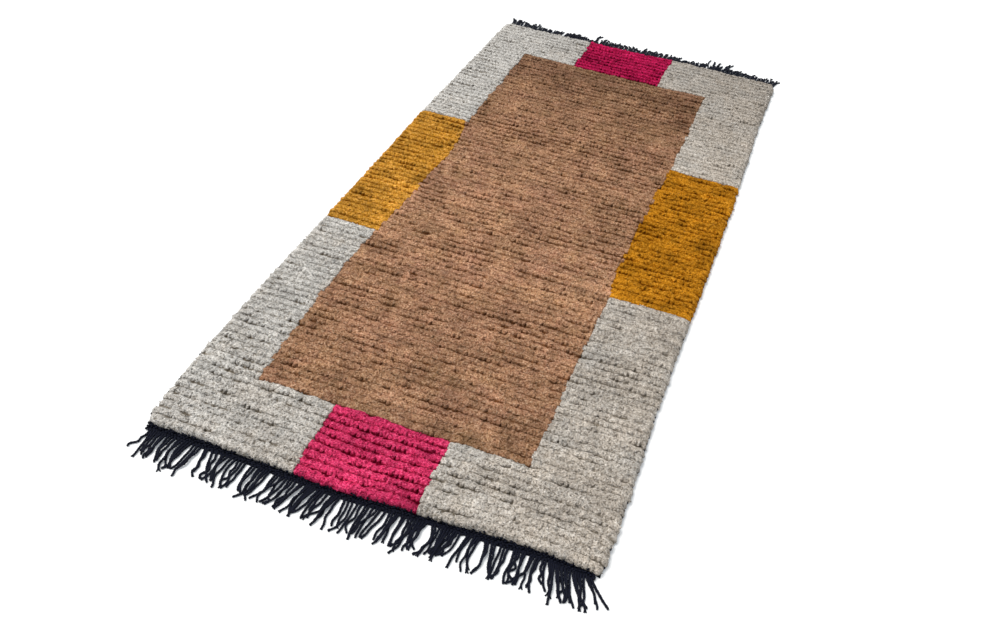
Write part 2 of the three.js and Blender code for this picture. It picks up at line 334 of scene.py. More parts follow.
# Each wool: its main colour, the one it drifts to, its painted shade colour and its painted highlight
# colour.
WOOL_COLOURS = {
    "brown": ((0.408, 0.231, 0.116), (0.428, 0.214, 0.136), (0.190, 0.077, 0.031), (0.68, 0.47, 0.32)),
    "grey": ((0.578, 0.558, 0.530), (0.568, 0.497, 0.424), (0.265, 0.225, 0.175), (0.82, 0.78, 0.72)),
    "mustard": ((0.61, 0.276, 0.027), (0.63, 0.302, 0.042), (0.290, 0.098, 0.003), (0.88, 0.52, 0.16)),
    # The darker wools of the far pink and the right mustard block: deeper dye and painted light falloff.
    "deep_mustard": (
        (0.49, 0.193, 0.008), (0.52, 0.214, 0.011), (0.250, 0.074, 0.001), (0.76, 0.37, 0.05),
    ),
    "pink": ((0.68, 0.034, 0.127), (0.70, 0.043, 0.142), (0.240, 0.003, 0.026), (0.92, 0.16, 0.32)),
    "deep_pink": ((0.53, 0.012, 0.090), (0.51, 0.011, 0.082), (0.230, 0.001, 0.021), (0.70, 0.04, 0.18)),
}
WOOLS = {name: wool(name + "_wool", *colours) for name, colours in WOOL_COLOURS.items()}
# The far pink and the right mustard block take darker wools: partly deeper dye, partly painted light
# falloff.
DARKER_BLOCKS = {"pink_pile_far": "deep_pink", "mustard_pile_right": "deep_mustard"}
print("wool finishes:", ", ".join(WOOLS))

# %% [markdown]
# ## Black cotton
# The warp and weft are black cotton with a cool cast. The yarn is matt; its colour is painted lighter
# where the bump of its plies stands high and darker where it dips, a painted highlight on top and
# painted shade below.

# %% Cotton finish
COTTON_COLOUR = (0.0031, 0.0044, 0.0125)
PLY_SCALE = 1100
COTTON_RELIEF = 1.2 * MM


def cotton(name):
    finish = Finish(name)
    fibre = finish.noise(finish.object_place(), PLY_SCALE)
    # Painted highlight and shade: the noise that raises the bump also lightens the colour.
    value = finish.ramp(fibre, 0.35, 0.65, 0.2, 1.8)
    return finish.set(
        Base_Color=finish.scale(COTTON_COLOUR, value),
        Roughness=0.6,
        Normal=finish.bump(fibre, COTTON_RELIEF),
        Specular_IOR_Level=0.14,
    )


black_cotton = cotton("black_cotton")
print("cotton finish:", black_cotton.name)

# %% [markdown]
# ## Which wool goes where
# A brown field lies in a light grey border. Mustard blocks sit in the middle of both long sides, and
# pink blocks in the middle of both ends. The weaver changes colour at a knot, so the edges of the
# blocks are nearly straight, with a tuft too many here and there.

# %% Colour plan
FIELD_ROWS = (9, 90)
FIELD_SIDES = {
    "along": [0.10, 0.15, 0.23, 0.36, 0.40, 0.45, 0.50, 0.56, 0.60, 0.66, 0.75, 0.90],
    "left": [0.159, 0.152, 0.145, 0.146, 0.157, 0.160, 0.163, 0.171, 0.170, 0.152, 0.151, 0.150],
    "right": [0.786, 0.790, 0.791, 0.792, 0.781, 0.780, 0.779, 0.783, 0.782, 0.792, 0.796, 0.796],
}
PINK_ACROSS = {"near": (0.345, 0.613), "far": (0.330, 0.628)}
MUSTARD_ROWS = {"left": (37, 66), "right": (37, 67)}
COLOURS = ["grey", "brown", "mustard", "pink"]
EDGE_SLIP = 0.2  # of a tuft

dice = np.random.default_rng(11)
row, column = np.mgrid[0:ROWS, 0:TUFTS_ACROSS]
row_along = (np.arange(ROWS) + 0.5) / ROWS
edges = np.stack([
    np.interp(row_along, FIELD_SIDES["along"], FIELD_SIDES["left"]),
    np.interp(row_along, FIELD_SIDES["along"], FIELD_SIDES["right"]),
], 1)
edges[: FIELD_ROWS[0]] = PINK_ACROSS["near"]
edges[FIELD_ROWS[1] :] = PINK_ACROSS["far"]
edges = edges * TUFTS_ACROSS + dice.normal(0, EDGE_SLIP, edges.shape)
knot = np.round(edges).astype(int)

colour = np.full(row.shape, COLOURS.index("grey"))
for side, outside in (("left", column < knot[row, 0]), ("right", column >= knot[row, 1])):
    first, last = MUSTARD_ROWS[side]
    colour[(row >= first) & (row < last) & outside] = COLOURS.index("mustard")
inside = (column >= knot[row, 0]) & (column < knot[row, 1])
in_field_rows = (row >= FIELD_ROWS[0]) & (row < FIELD_ROWS[1])
colour[inside & in_field_rows] = COLOURS.index("brown")
colour[inside & ~in_field_rows] = COLOURS.index("pink")


def per_wool(table):
    """The values of a table, in the order of COLOURS."""
    return np.array([table[name] for name in COLOURS])


for index, name in enumerate(COLOURS):
    print(name, "tufts:", int((colour == index).sum()))

# %% [markdown]
# ## Slow changes
# Much on a hand made thing drifts slowly from place to place: how hard a row was beaten down, how long
# its pile was cut, how deep its dye took. A coarse grid of random numbers, blended smoothly between
# its points, gives such a drift.

# %% Drift
STRIPS = 4
STEPS = 7
LINES = ROWS * STEPS + 1
COLUMNS = TUFTS_ACROSS * STRIPS + 1


def drift(cells_along, cells_across, lines=LINES):
    """Smooth random values of about -1 to 1 over the pile, line by line from the near end."""
    coarse = dice.normal(0, 0.6, (cells_along + 2, cells_across + 2))
    at_line = np.linspace(0, cells_along, lines)
    at_column = np.linspace(0, cells_across, COLUMNS)
    below, before = at_line.astype(int), at_column.astype(int)
    up = smooth_step(at_line - below)[:, None]
    over = smooth_step(at_column - before)[None, :]
    near = coarse[below][:, before] * (1 - over) + coarse[below][:, before + 1] * over
    far = coarse[below + 1][:, before] * (1 - over) + coarse[below + 1][:, before + 1] * over
    return near * (1 - up) + far * up


print("the pile gets", LINES, "lines of", COLUMNS, "points")

# %% [markdown]
# ## The pile
# A tuft is the cut end of a thick, loosely spun yarn. Its near side leans out over the row before it,
# and its far side runs into the next row, so the pile is one dense surface with a groove before each
# row and a notch between two tufts. A grid of four strips and seven steps to a tuft can follow that. The
# side view of a row says where each step lies along the row, how much of the groove before and after
# it is felt there, how far a notch draws it back and how deep it cuts, how far it swells out at the
# rug's sides in millimetres, and how loose the yarn is there.

# %% Row shape
ROW_SHAPE = {
    "along": [0.00, -0.05, 0.02, 0.16, 0.38, 0.62, 0.84],
    "before": [1.00, 0.62, 0.22, 0.03, 0.00, 0.00, 0.00],
    "after": [0.00, 0.00, 0.00, 0.00, 0.05, 0.18, 0.42],
    "setback": [0.10, 0.80, 1.00, 0.45, 0.08, 0.00, 0.00],
    "crease": [0.00, 0.60, 1.00, 0.70, 0.35, 0.30, 0.30],
    "bulge": [-1.30, -0.70, 0.20, 0.70, 0.80, 0.50, -0.20],
    "loose": [0.20, 0.60, 1.00, 1.00, 1.00, 0.90, 0.60],
}
CREASE_SHARE = np.array([1, 0.16, 0, 0.16])
SETBACK = 2.2 * MM
CREASE_DEPTH = 0.9 * MM
GROOVE_DEPTH = 3.7 * MM
END_DEPTH = 9 * MM
YARN_LOOSENESS = 0.6 * MM
RIM = {"up": [0.30, 0.66, 0.86, 0.96], "out": [1.2, 2.0, 1.2, 0.4], "bulge": [1.0, 1.0, 0.7, 0.3]}

line, point = np.mgrid[0:LINES, 0:COLUMNS]
line_row, step = line // STEPS, line % STEPS
own_row = np.minimum(line_row, ROWS - 1)
tuft, strip = np.minimum(point // STRIPS, TUFTS_ACROSS - 1), point % STRIPS
shape = {name: np.array(values)[step] for name, values in ROW_SHAPE.items()}
crease_share = CREASE_SHARE[strip]
print("a row is made of", STEPS, "steps, a tuft of", STRIPS, "strips")

# %% [markdown]
# ## Knots across a row
# Knots don't lie in columns. Each row is slid a little sideways as a whole, which fades out at the rug's
# sides and where the colour changes. There the knots squeeze together or spread instead, over a few
# tufts, so that the change of colour falls on its line in the plan.

# %% Knots across a row
ROW_SLIDE = 0.45  # of a tuft, as the lengths below are
SLIDE_FROM_SIDE = 4
SLIDE_FROM_EDGE = 5
SQUEEZE_LENGTH = 8
KNOT_SCATTER = 0.09

knots = np.arange(TUFTS_ACROSS + 1) + np.zeros((ROWS, 1))
from_side = np.minimum(knots, TUFTS_ACROSS - knots)
slide = dice.uniform(-ROW_SLIDE, ROW_SLIDE, (ROWS, 1)) * np.clip(from_side / SLIDE_FROM_SIDE, 0, 1)
for edge in (0, 1):
    slide = slide * np.clip(np.abs(knots - knot[:, edge, None]) / SLIDE_FROM_EDGE, 0, 1)
for edge in (0, 1):
    away = np.abs(knots - knot[:, edge, None])
    slide = slide + (edges - knot)[:, edge, None] * np.clip(1 - away / SQUEEZE_LENGTH, 0, 1)
inner = np.clip(knots, 1, TUFTS_ACROSS - 1) == knots
knots = knots + slide + np.where(inner, dice.normal(0, KNOT_SCATTER, knots.shape), 0)


def by_line(values):
    """Values of each row, spread over its lines, with the mean of two rows on the line between them."""
    before = values[np.maximum(np.arange(LINES) // STEPS - 1, 0)]
    own = values[np.minimum(np.arange(LINES) // STEPS, ROWS - 1)]
    on_groove = (np.arange(LINES) % STEPS == 0)[:, None]
    return np.where(on_groove, (before + own) / 2, own)


columns_at = np.arange(COLUMNS) / STRIPS
knot_places = np.stack([np.interp(columns_at, np.arange(TUFTS_ACROSS + 1), one) for one in knots])
share_across = by_line(knot_places) / TUFTS_ACROSS
share_along = (line_row + shape["along"]) / ROWS
print("knots slide by up to", round(np.abs(slide).max(), 2), "of a tuft")

# %% [markdown]
# ## Grooves
# How deep the groove before a row is depends on how hard the row was beaten down, so it drifts along
# the row and changes from row to row. Each wool packs in its own way too: pink rows stand well apart,
# while brown ones lie close at the near end. The grey is flatter on the right, and on the left its rows
# stand apart evenly.

# %% Groove depths
DEEPEST_GROOVE = 7.5 * MM
# Mean depth as a share and least depth in millimetres, each at the near and at the far end.
WOOL_GROOVES = {
    "grey": (1.00, 0.80, 0.8, 1.7),
    "brown": (0.85, 1.25, 0.3, 1.2),
    "mustard": (1.05, 1.05, 1.0, 1.6),
    "pink": (1.45, 1.45, 3.4, 3.4),
}
GREY_SHARES = (1.05, 0.8)  # of the mean depth, at the left and at the right side
LEFT_BORDER_WIDTH = 0.15
LEFT_BORDER = {"along": [0, 0.08, 0.2, 0.6, 0.9, 1], "least": [1.2, 1.6, 3.0, 3.2, 2.6, 2.0]}

grooves = 0.75 * drift(ROWS, 9, ROWS + 1) + drift(ROWS, 44, ROWS + 1) + 0.5 * drift(12, 4, ROWS + 1)
grooves += drift(ROWS, 110, ROWS + 1)
grooves = GROOVE_DEPTH * (1 + 0.7 * grooves)
groove_colour = colour[:, np.minimum(np.arange(COLUMNS) // STRIPS, TUFTS_ACROSS - 1)]
groove_plan = per_wool(WOOL_GROOVES)[groove_colour]
near_mean, far_mean, near_least, far_least = (groove_plan[..., k] for k in range(4))
deeper = near_mean + (far_mean - near_mean) * row_along[:, None]
deeper *= np.where(groove_colour == COLOURS.index("grey"), np.linspace(*GREY_SHARES, COLUMNS), 1)
least = near_least + (far_least - near_least) * row_along[:, None]
even = np.interp(row_along, LEFT_BORDER["along"], LEFT_BORDER["least"])[:, None]
least = np.maximum(least, even * (np.arange(COLUMNS) < LEFT_BORDER_WIDTH * COLUMNS))
grooves[:-1] = np.clip(grooves[:-1] * deeper, least * MM, DEEPEST_GROOVE)
grooves[0] = grooves[-1] = END_DEPTH
before = grooves[line_row, point]
after = grooves[np.minimum(line_row + 1, ROWS), point]
print("groove depth from", round(grooves.min() / MM, 1), "to", round(grooves.max() / MM, 1), "mm")

# %% [markdown]
# ## Notches
# Two tufts side by side leave a notch between them. Most notches are shallow and a few cut deep, which
# is what a gamma distribution gives. A notch also draws the yarn back towards its own row, and more so
# where the groove in front of it is deep.

# %% Notches between tufts
NOTCH_SPREAD = (3.2, 0.32)  # shape and scale, which make a mean of about 1
END_NOTCHES = 0.4
NOTCH_FELT = (0.3, 1.6)
END_FELT = 0.8

cut = dice.gamma(*NOTCH_SPREAD, (ROWS + 1, TUFTS_ACROSS + 1))
cut[0] *= END_NOTCHES
cut[-1] *= END_NOTCHES
crease = crease_share * cut[line_row, (point + 1) // STRIPS]
felt = np.clip(before / GROOVE_DEPTH, *NOTCH_FELT)
felt[:STEPS] = felt[-STEPS:] = END_FELT
print("notches deeper than twice the mean:", int((cut > 2).sum()))

# %% [markdown]
# ## Uneven tufts and rows
# A tuft stands a little higher or lower than the next, and further out or in. A whole row wanders too,
# and the crests rise and fall slowly over the rug. At both ends nothing holds the outer row in place,
# so its tufts are the most uneven.

# %% Uneven rows
TUFT_HIGH = 0.3 * MM
TUFT_OUT = 0.6 * MM
END_TUFTS_OUT = 2.8
CREST_DROP = 1.2 * MM

tuft_high = dice.normal(0, TUFT_HIGH, (ROWS, TUFTS_ACROSS))
tuft_out = dice.normal(0, TUFT_OUT, (ROWS, TUFTS_ACROSS))
tuft_out[0] *= END_TUFTS_OUT
tuft_out[-1] *= END_TUFTS_OUT
wander = drift(24, 9, ROWS) * 1.7 * MM + drift(ROWS, 6, ROWS) * 0.7 * MM
wander += drift(ROWS, 24, ROWS) * 0.8 * MM
crest = THICKNESS - CREST_DROP + drift(ROWS, 12) * 0.45 * MM + drift(14, 8) * 0.3 * MM

own_share = 1 - crease_share
off_groove = np.where(step > 0, 1, 0)
depth = shape["before"] * before + shape["after"] * after + shape["crease"] * crease * CREASE_DEPTH
up = crest - depth + own_share * tuft_high[own_row, tuft] * off_groove
x = place_across(share_across, share_along)
y = place_along(share_across, share_along) + by_line(wander)
y = y + shape["setback"] * crease * felt * SETBACK
y = y + own_share * tuft_out[own_row, tuft] * off_groove
print("a row wanders by up to", round(np.abs(wander).max() / MM, 1), "mm")

# %% [markdown]
# ## Loose yarn
# The yarn is spun loosely, so its surface is never smooth. Every point is moved a little at random, most
# of all upwards, and a point drags the next two along, which draws the bumps out over the row. All the
# wool lies calmer towards the far end, the grey most of all.

# %% Loose yarn
CALM = {"along": (0, 0.4, 1), "grey": (1, 0.9, 0.35)}
DRAGGED = (0.8, 0.4)
DRAGGED_SPREAD = 1.34  # the root of 1 + 0.8 * 0.8 + 0.4 * 0.4, which brings the spread back to 1

own_colour = colour[own_row, tuft]
is_grey = own_colour == COLOURS.index("grey")
lively = np.where(is_grey, np.interp(share_along, CALM["along"], CALM["grey"]), 1 - 0.3 * share_along)
loose = shape["loose"] * YARN_LOOSENESS * lively
yarn_end = dice.normal(0, 1, x.shape)
yarn_end = (
    yarn_end + DRAGGED[0] * np.roll(yarn_end, 1, 0) + DRAGGED[1] * np.roll(yarn_end, 2, 0)
) / DRAGGED_SPREAD
x = x + dice.normal(0, 0.5, x.shape) * loose
y = y + dice.normal(0, 0.5, x.shape) * loose
up = up + yarn_end * loose
print("a point is moved by about", round(loose.mean() / MM, 2), "mm")

# %% [markdown]
# ## Rounded sides and corners
# At the sides nothing holds the pile, so it leans out and thins over the last four columns of points,
# and each row swells out by its own amount. The four corners are worn round.

# %% Rounded sides
CORNER_LENGTH = 26 * MM
CORNER_COLUMNS = 14
CORNER_INSET = 6 * MM
ROW_SWELL = 0.7 * MM
LOWEST_TOP = 3.4 * MM

from_rim = np.minimum(point, COLUMNS - 1 - point)
outwards = np.where(point < COLUMNS / 2, -1, 1)
rim = from_rim < len(RIM["up"])
rim_step = np.minimum(from_rim, len(RIM["up"]) - 1)
from_end = np.minimum(share_along, 1 - share_along) * PILE_LENGTH
corner = np.clip(1 - from_end / CORNER_LENGTH, 0, 1) ** 2 * np.clip(1 - from_rim / CORNER_COLUMNS, 0, 1)
x = x - outwards * corner * CORNER_INSET
up = np.where(rim, up * np.array(RIM["up"])[rim_step], up)
side_out = dice.normal(0, ROW_SWELL, (ROWS, 2))[own_row, (outwards > 0).astype(int)]
bulge = np.array(RIM["bulge"])[rim_step] * (shape["bulge"] * MM + side_out)
x = np.where(rim, x + outwards * (np.array(RIM["out"])[rim_step] * MM + bulge), x)
up = np.clip(up, LOWEST_TOP, None)
print("the pile is", round(np.ptp(x) / MM), "mm wide at its widest")

# %% [markdown]
# ## Shade, tint and height
# Every point of the pile carries three marks for the wool finish: how light it is, how far its colour
# has drifted to the second one, and how high it stands in its row. The shade is made of slow changes
# over each wool, which paint in wear together with the fall of the light over the rug, of patches where
# the dye took more or less deeply, and of a speckle from yarn to yarn. Notches are a little darker, as
# less light reaches them.

# %% Marks on the pile
# Lightness of the grey and the brown, a painted light falloff together with wear, at the left and at the
# right side, set at the near end, at one and two thirds, and at the far end, until it looked right. The
# other wools are even.
LIGHT_FALLOFF_AND_WEAR = {
    "grey": {"left": (0.97, 1.11, 1.09, 1.06), "right": (1.00, 0.86, 0.99, 0.66)},
    "brown": {"left": (0.78, 1.12, 1.02, 0.50), "right": (0.78, 1.09, 0.98, 0.48)},
}
DYE_PATCHES = {"grey": 0.17, "brown": 0.32, "mustard": 0.32, "pink": 0.30}
NOTCH_DARKNESS = {"grey": 0.05, "brown": 0.03, "mustard": 0.03, "pink": 0.14}
DARKEST_NOTCH = 0.35
SPECKLE = 0.06
TINT_SPECKLE = 0.12
FULL_DEPTH = 6 * MM
END_LINES = 3
END_HEIGHT = 0.8

# Painted light falloff and wear, blended from the table across the rug.
falloff_and_wear = np.ones(x.shape)
for name, sides in LIGHT_FALLOFF_AND_WEAR.items():
    left = np.interp(share_along, np.linspace(0, 1, 4), sides["left"])
    right = np.interp(share_along, np.linspace(0, 1, 4), sides["right"])
    is_own = own_colour == COLOURS.index(name)
    falloff_and_wear = np.where(is_own, left + (right - left) * share_across, falloff_and_wear)

dye = 0.4 * drift(24, 12) + 0.5 * drift(60, 26) + 0.5 * drift(ROWS, 44) + 0.45 * drift(ROWS, 9)
dye *= per_wool(DYE_PATCHES)[own_colour] * np.sqrt(lively)
tuft_shade = dice.normal(0, SPECKLE, (ROWS, TUFTS_ACROSS))
speckle = tuft_shade[own_row, tuft] + 0.08 * yarn_end + dice.normal(0, SPECKLE, x.shape)
notch = shape["setback"] * crease * np.minimum(felt, 1.3) * lively
notch = np.minimum(notch * per_wool(NOTCH_DARKNESS)[own_colour], DARKEST_NOTCH)
shade = falloff_and_wear * (1 + dye + speckle * lively) * (1 - notch)

# The grey turns warmer from left to right and cooler towards the far left.
tint = 0.5 + 0.2 * drift(30, 12) + 0.2 * drift(ROWS, 44) + dice.normal(0, TINT_SPECKLE, x.shape)
tint += np.where(is_grey, 0.8 * (share_across - 0.5) - 0.35 * share_along * (1 - share_across), 0)

# Where a dye took deeply, the colour of the roots shows through, so such patches count as lower.
# Notches count as lower too, so the painted root shade reaches into them.
height = 1 - (shape["before"] * before + shape["after"] * after) / FULL_DEPTH - 1.2 * notch
height -= np.where(is_grey, 0, 0.6 * np.clip(0.04 - dye, 0, 0.4))
height[:END_LINES] = height[-END_LINES:] = END_HEIGHT
marks = np.stack([shade / 2, tint, height, np.ones(x.shape)], -1).clip(0, 1)
print("shade from", round(shade.min(), 2), "to", round(shade.max(), 2))

# %% [markdown]
# ## From a grid to five colours
# The pile is one grid, added as a primitive, and each of its points moves to its place on the pile and
# gets its marks. Its UV map comes with it and is already a plan of the rug.

# %% The grid of the pile
bpy.ops.object.select_all(action="DESELECT")
bpy.ops.mesh.primitive_grid_add(x_subdivisions=COLUMNS - 1, y_subdivisions=LINES - 1, size=1)
whole = bpy.context.object
flat = np.empty(len(whole.data.vertices) * 3, np.float32)
whole.data.vertices.foreach_get("co", flat)
grid_point = np.rint((flat[0::3] + 0.5) * (COLUMNS - 1)).astype(int)
grid_line = np.rint((flat[1::3] + 0.5) * (LINES - 1)).astype(int)
whole.data.vertices.foreach_set(
    "co", np.stack([x, y, up], -1)[grid_line, grid_point].astype(np.float32).ravel()
)
tuft_marks = whole.data.attributes.new("tuft", "FLOAT_COLOR", "POINT")
tuft_marks.data.foreach_set("color", marks[grid_line, grid_point].astype(np.float32).ravel())
whole.data.uv_layers[0].name = "OFBake"
corners = np.empty(len(whole.data.loops), np.int32)
whole.data.loops.foreach_get("vertex_index", corners)
face_line = grid_line[corners].reshape(-1, 4).min(1)
face_point = grid_point[corners].reshape(-1, 4).min(1)
face_row, face_tuft = face_line // STEPS, face_point // STRIPS
bpy.ops.object.shade_smooth()
print("the grid has", len(face_line), "faces")

# %% [markdown]
# ## Blocks of colour
# For a moment every block of colour gets a material of its own, so that one operator can take the grid
# apart into blocks. The brown field is too large for one piece, so it is cut in three, and the grey
# border in four.

# %% Pile pieces
BROWN_CUTS = (36, 63)

face_colour = colour[face_row, face_tuft]
brown, grey, mustard, pink = (
    face_colour == COLOURS.index(name) for name in ("brown", "grey", "mustard", "pink")
)
on_left, near_half = face_tuft < TUFTS_ACROSS / 2, face_row < ROWS / 2
BLOCKS = {
    "brown_pile_near": brown & (face_row < BROWN_CUTS[0]),
    "brown_pile_middle": brown & (face_row >= BROWN_CUTS[0]) & (face_row < BROWN_CUTS[1]),
    "brown_pile_far": brown & (face_row >= BROWN_CUTS[1]),
    "pink_pile_near": pink & near_half,
    "pink_pile_far": pink & ~near_half,
    "grey_pile_near_left": grey & near_half & on_left,
    "grey_pile_near_right": grey & near_half & ~on_left,
    "grey_pile_far_left": grey & ~near_half & on_left,
    "grey_pile_far_right": grey & ~near_half & ~on_left,
    "mustard_pile_left": mustard & on_left,
    "mustard_pile_right": mustard & ~on_left,
}
block_of_face = np.zeros(len(face_row), np.int32)
for number, (name, faces) in enumerate(BLOCKS.items()):
    whole.data.materials.append(bpy.data.materials.new(name))
    block_of_face[faces] = number
whole.data.polygons.foreach_set("material_index", block_of_face)
block_at = np.empty((LINES - 1, COLUMNS - 1), np.int32)
block_at[face_line, face_point] = block_of_face
bpy.ops.object.mode_set(mode="EDIT")
bpy.ops.mesh.separate(type="MATERIAL")
bpy.ops.object.mode_set(mode="OBJECT")
blocks = list(bpy.context.selected_objects)
print("blocks of colour:", len(blocks))

# %% [markdown]
# ## Closed blocks
# A block is still an open skin. Its rim is extruded, flattened down to just below the top of the ground
# and filled, which makes it solid. Its UV map is then stretched, so that the block fills it.

# %% Closed blocks
PILE_SINK = 0.1 * MM


def close_block(piece):
    """Extrudes the rim of a block down into the ground and fills its underside."""
    bpy.ops.object.select_all(action="DESELECT")
    piece.select_set(True)
    bpy.context.view_layer.objects.active = piece
    bpy.ops.object.mode_set(mode="EDIT")
    bpy.ops.mesh.select_mode(type="FACE")
    bpy.ops.mesh.select_all(action="SELECT")
    bpy.ops.mesh.region_to_loop()
    bpy.ops.mesh.extrude_region_move()
    bpy.ops.transform.resize(value=(1, 1, 0), center_override=(0, 0, GROUND_THICKNESS - PILE_SINK))
    bpy.ops.mesh.edge_face_add()
    bpy.ops.mesh.select_all(action="DESELECT")
    bpy.ops.object.mode_set(mode="OBJECT")


def spread_plan(piece):
    """Stretches a block's share of the whole plan over its own UV map, and tells that share."""
    plan = piece.data.uv_layers["OFBake"].data
    shares = np.empty(len(plan) * 2, np.float32)
    plan.foreach_get("uv", shares)
    shares = shares.reshape(-1, 2)
    low, wide = shares.min(0), np.ptp(shares, 0).max()
    plan.foreach_set("uv", ((shares - low) / wide).ravel())
    return low, wide


# %% [markdown]
# ## Yarn ends
# The surface so far is too tidy. On the real pile the cut ends of the yarn stand and lie about, most of
# them leaning forwards over the groove. One end is a small spindle of eight faces, and a tuft gets
# four of them, each with its own size, heading and shade. Thousands of operator calls would take
# minutes, so the points are worked out as arrays, and a helper makes one mesh of them.

# %% Meshes from arrays
def joined_mesh(name, points, faces, material):
    """A smooth mesh from arrays of points and triangles, with a plan UV map."""
    mesh = bpy.data.meshes.new(name)
    mesh.vertices.add(len(points))
    mesh.vertices.foreach_set("co", points.astype(np.float32).ravel())
    mesh.loops.add(faces.size)
    mesh.loops.foreach_set("vertex_index", faces.astype(np.int32).ravel())
    mesh.polygons.add(len(faces))
    mesh.polygons.foreach_set("loop_start", np.arange(0, faces.size, 3, dtype=np.int32))
    mesh.polygons.foreach_set("use_smooth", np.ones(len(faces), bool))
    mesh.update(calc_edges=True)
    plan = mesh.uv_layers.new(name="OFBake")
    low, high = points.min(0), points.max(0)
    shares = (points[:, :2] - low[:2]) / max(high[:2] - low[:2])
    plan.data.foreach_set("uv", shares[faces.ravel()].astype(np.float32).ravel())
    mesh.materials.append(material)
    piece = bpy.data.objects.new(name, mesh)
    bpy.context.scene.collection.objects.link(piece)
    print(name, "triangles:", len(faces))
    return piece


# %% Spindles
SPINDLE = np.array([(1, 0, 0), (0, 1, 0), (-1, 0, 0), (0, -1, 0), (0, 0, 1), (0, 0, -1)])
SPINDLE_FACES = np.array([
    (0, 1, 4), (1, 2, 4), (2, 3, 4), (3, 0, 4), (1, 0, 5), (2, 1, 5), (3, 2, 5), (0, 3, 5),
])


def spindles(size, heading, pitch):
    """The points of a spindle for each size, tilted by its pitch and turned to its heading."""
    plain = SPINDLE[None] * size[:, None]
    cos, sin = np.cos(pitch)[:, None], np.sin(pitch)[:, None]
    along, above = plain[..., 1] * cos - plain[..., 2] * sin, plain[..., 1] * sin + plain[..., 2] * cos
    cos, sin = np.cos(heading)[:, None], np.sin(heading)[:, None]
    aside, along = plain[..., 0] * cos - along * sin, plain[..., 0] * sin + along * cos
    return np.stack([aside, along, above], -1)


# %% Yarn ends
ENDS_PER_TUFT = 4
END_SIZE = np.array([1.05, 2.5, 0.95]) * MM
END_SCALE = (0.7, 1.2)
END_SCATTER = 0.5 * MM
END_HEADING = 0.55
END_TILT = (0.05, 0.75)
END_PAINTED_LIGHT = 1.04
END_SHADES = 0.11
END_TINTS = 0.12
LOWEST_END = 1 * MM


def yarn_ends(number, low, wide):
    """The yarn ends of a block in one mesh. low and wide are the block's share of the whole plan."""
    own = np.argwhere(block_at[::STEPS, ::STRIPS] == number)
    count = len(own) * ENDS_PER_TUFT
    own = np.repeat(own, ENDS_PER_TUFT, 0)
    at_line = own[:, 0] * STEPS + dice.integers(2, STEPS, count)
    at_point = own[:, 1] * STRIPS + np.tile(np.arange(ENDS_PER_TUFT), len(own) // ENDS_PER_TUFT)
    at_point = at_point + (dice.random(count) < 0.5)
    spot = np.stack([x[at_line, at_point], y[at_line, at_point], up[at_line, at_point]], 1)
    spot += dice.normal(0, END_SCATTER, spot.shape) * (1, 1, 0.6)
    heading = dice.normal(0, END_HEADING, count)
    pitch = -dice.uniform(*END_TILT, count)
    size = END_SIZE * dice.uniform(*END_SCALE, (count, 3))
    points = spindles(size, heading, pitch) + spot[:, None]
    points[..., 2] = np.maximum(points[..., 2], LOWEST_END)
    steps_up = len(SPINDLE) * np.arange(count)[:, None, None]
    faces = (SPINDLE_FACES[None] + steps_up).reshape(-1, 3)
    piece = joined_mesh("yarn_ends", points.reshape(-1, 3), faces, WOOLS["grey"])

    mark = marks[at_line, at_point][:, None] + np.zeros((1, len(SPINDLE), 1))
    shades = dice.normal(0, END_SHADES, (count, 1)) * lively[at_line, at_point][:, None]
    # Painted highlight: an end stands out of the pile, so it is painted a little lighter on the whole.
    mark[..., 0] *= END_PAINTED_LIGHT + shades
    mark[..., 1] += dice.normal(0, END_TINTS, (count, 1))
    # Painted shade: an end gets less of the deep root colour than the point it stands on.
    mark[..., 2] = 0.35 + 0.65 * mark[..., 2]
    tuft_marks = piece.data.attributes.new("tuft", "FLOAT_COLOR", "POINT")
    tuft_marks.data.foreach_set("color", mark.clip(0, 1).astype(np.float32).ravel())
    plan = np.stack([at_point / (COLUMNS - 1), at_line / (LINES - 1)], 1)[:, None]
    plan = (plan + (points[..., :2] - spot[:, None, :2]) / (RUG_WIDTH, PILE_LENGTH) - low) / wide
    piece.data.uv_layers["OFBake"].data.foreach_set(
        "uv", plan.reshape(-1, 2)[faces.ravel()].clip(0, 1).astype(np.float32).ravel()
    )
    return piece


# %% [markdown]
# ## Finished blocks
# Each block is closed, joined with its yarn ends and given its wool, the darker one for the far pink and
# the right mustard block, which is a deeper dye and painted light falloff together. The materials that
# only served to take the grid apart go.

# %% Finished blocks
for piece in blocks:
    name = piece.data.materials[0].name
    colour_name = name.split("_")[0]
    piece.name = piece.data.name = name
    close_block(piece)
    low, wide = spread_plan(piece)
    ends = yarn_ends(list(BLOCKS).index(name), low, wide)
    bpy.ops.object.select_all(action="DESELECT")
    ends.select_set(True)
    piece.select_set(True)
    bpy.context.view_layer.objects.active = piece
    bpy.ops.object.join()
    piece.data.materials.clear()
    piece.data.materials.append(WOOLS[DARKER_BLOCKS.get(name, colour_name)])
    piece.data.polygons.foreach_set("material_index", np.zeros(len(piece.data.polygons), np.int32))
    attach(piece, "root")
    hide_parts("pile_rug")
    colour_name + "_wool"
    print(name, "faces:", len(piece.data.polygons))
for name in BLOCKS:
    bpy.data.materials.remove(bpy.data.materials[name])

# %% [markdown]
# ## The woven ground
# The pile stands on a firm weave of black cotton, three millimetres thick. Turned over, the rug shows
# the backs of its knots: two small coloured bumps for each tuft, in rows, with black weft between them.
# A grid with one face per tuft takes the tuft's colour, its rim is extruded up to the pile and closed,
# and the finish rounds the bumps by counting tufts and rows on the UV map.

